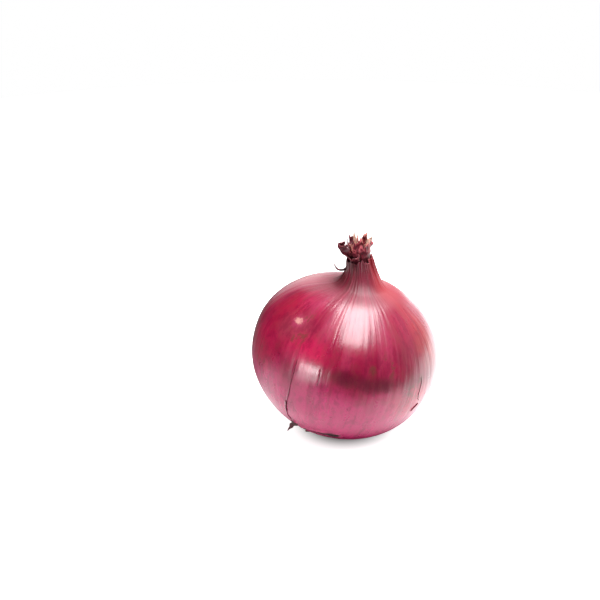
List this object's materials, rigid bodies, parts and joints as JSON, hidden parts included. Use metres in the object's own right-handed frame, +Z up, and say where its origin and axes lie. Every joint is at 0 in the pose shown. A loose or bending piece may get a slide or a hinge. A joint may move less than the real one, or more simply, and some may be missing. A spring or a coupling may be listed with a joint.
{
  "type": "red onion",
  "caption": "Whole dried red onion bulb, glossy and round, leaning on its root end, with a pleated neck ending in curled papery leaf ends and a small tuft of dried roots below.",
  "frame": {"origin": "on the surface the onion rests on, under the middle of the bulb's box", "axes": "+Z up, with the neck at the top; -Y is the front, the side with the torn skin point; the onion's own axis leans from +Z towards +X"},
  "size_m": [0.0782, 0.0774, 0.089],
  "materials": {
    "skin": "thin glossy dried outer skin, crimson to magenta, with fine veins running from the root end to the neck",
    "dark_leaf": "brittle dried skin, dark maroon, slight sheen",
    "red_leaf": "brittle dried skin, deep red, slight sheen",
    "rose_leaf": "thin dried skin, dusty rose, matte",
    "pale_leaf": "thin dried skin, pale straw pink, matte",
    "cork": "dry corky disc, matte",
    "root": "dry straw-brown root fibre, matte"
  },
  "bodies": {
    "root": {"bulb": "skin", "dark_curl_leaf": "dark_leaf", "front_fold_leaf": "dark_leaf", "front_strip_leaf": "red_leaf", "front_right_leaf": "red_leaf", "right_scroll_leaf": "rose_leaf", "right_leaf": "red_leaf", "back_right_leaf": "rose_leaf", "back_leaf": "red_leaf", "back_left_leaf": "dark_leaf", "left_short_leaf": "red_leaf", "pale_tip_leaf": "pale_leaf", "pale_scroll_leaf": "pale_leaf", "inner_back_leaf": "rose_leaf", "hook_strand": "dark_leaf", "skin_flake": "dark_leaf", "root_disc": "cork", "root_01": "root", "root_02": "root", "root_03": "root", "root_04": "root", "root_05": "root", "root_06": "root", "root_07": "root", "root_08": "root", "root_09": "root", "root_10": "root", "root_11": "root", "root_12": "root", "root_13": "root"}
  },
  "joints": []
}
